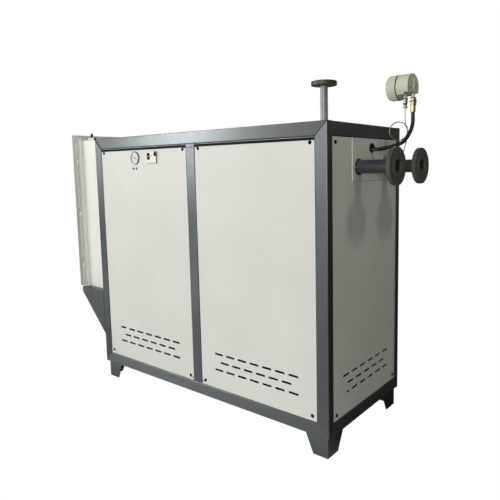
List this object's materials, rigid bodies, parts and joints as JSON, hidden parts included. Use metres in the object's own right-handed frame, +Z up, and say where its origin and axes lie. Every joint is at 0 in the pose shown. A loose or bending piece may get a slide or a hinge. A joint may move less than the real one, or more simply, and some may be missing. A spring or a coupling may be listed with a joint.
{
  "type": "industrial boiler",
  "caption": "Floor-standing industrial electric boiler in a welded tube frame with louvred sheet panels, flanged pipe nozzles, a control cabinet and a sensor head.",
  "frame": {"origin": "centre of the overall box at floor level", "axes": "+X towards the end with the two flanged nozzles, -Y towards the front with the gauge, +Z up"},
  "size_m": [2.066, 0.695, 1.684],
  "materials": {
    "frame_paint": "satin",
    "panel_paint": "satin",
    "cabinet_paint": "satin",
    "nozzle_steel": "matte",
    "bare_steel": "worn",
    "gauge_case": "satin",
    "controller_plastic": "matte",
    "transmitter_paint": "satin",
    "nickel_fitting": "satin",
    "capillary_steel": "satin",
    "sleeve_brass": "satin",
    "conduit_rubber": "matte",
    "zinc_plate": "satin"
  },
  "bodies": {
    "housing": {"front_left_post": "frame_paint", "front_right_post": "frame_paint", "rear_left_post": "frame_paint", "rear_right_post": "frame_paint", "mullions": "frame_paint", "front_top_rail": "frame_paint", "front_bottom_rail": "frame_paint", "rear_top_rail": "frame_paint", "rear_bottom_rail": "frame_paint", "left_side_rails": "frame_paint", "right_side_rails": "frame_paint", "front_feet": "frame_paint", "rear_feet": "frame_paint", "front_left_panel": "panel_paint", "front_right_panel": "panel_paint", "rear_left_panel": "panel_paint", "rear_right_panel": "panel_paint", "left_side_panel": "panel_paint", "right_side_panel": "panel_paint", "right_side_panel_folds": "panel_paint", "top_panel": "panel_paint", "bottom_panel": "frame_paint", "nozzle_cover_plates": "panel_paint", "front_nozzle_pipe": "nozzle_steel", "front_nozzle_flange": "nozzle_steel", "rear_nozzle_pipe": "nozzle_steel", "rear_nozzle_flange": "nozzle_steel", "top_nozzle_pipe": "frame_paint", "top_nozzle_flange": "bare_steel", "dial_gauge": "gauge_case", "temperature_controller": "controller_plastic", "transmitter_body": "transmitter_paint", "transmitter_ribbed_cap": "transmitter_paint", "transmitter_end_cover": "transmitter_paint", "capillary_gland": "nickel_fitting", "capillary_tube": "capillary_steel", "conduit_gland": "nickel_fitting", "conduit_sleeve": "sleeve_brass", "flexible_conduit": "conduit_rubber", "conduit_grommet": "conduit_rubber", "cabinet_bracket": "frame_paint", "cabinet_body": "cabinet_paint", "cabinet_mounting_plate": "zinc_plate"},
    "cabinet_door": {"cabinet_door": "cabinet_paint", "door_lock": "nickel_fitting"}
  },
  "joints": [
    {"name": "cabinet_door_hinge", "type": "hinge", "parent": "housing", "child": "cabinet_door", "pos_m": [-0.987, -0.3355, 1.018], "axis": [0, 0, 1], "range_deg": [0, 115]}
  ]
}
